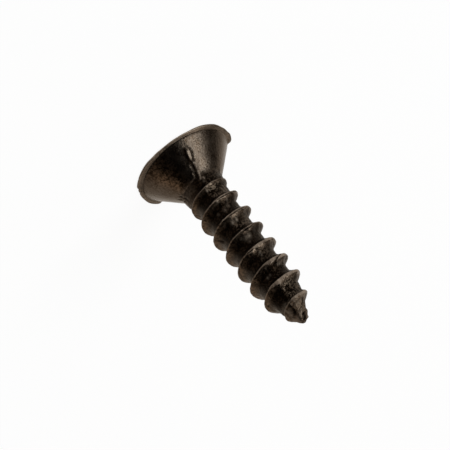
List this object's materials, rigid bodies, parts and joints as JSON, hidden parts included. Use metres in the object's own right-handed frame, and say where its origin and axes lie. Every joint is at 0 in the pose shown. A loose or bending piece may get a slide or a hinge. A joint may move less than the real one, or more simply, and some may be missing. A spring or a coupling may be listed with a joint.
{
  "type": "self-tapping screw",
  "caption": "Countersunk self-tapping screw of darkened steel with a cross recess, a coarse right-hand thread and a gimlet point, standing on its flat head.",
  "frame": {"origin": "centre of the head's flat face, on the screw's axis, where the screw stands when it is set on its head", "axes": "+Z along the screw's axis from the head to the point; +X along one wing of the cross recess"},
  "size_m": [0.0074, 0.0074, 0.0158],
  "materials": {
    "darkened_steel": "satin"
  },
  "bodies": {
    "root": {"screw": "darkened_steel"}
  },
  "joints": []
}
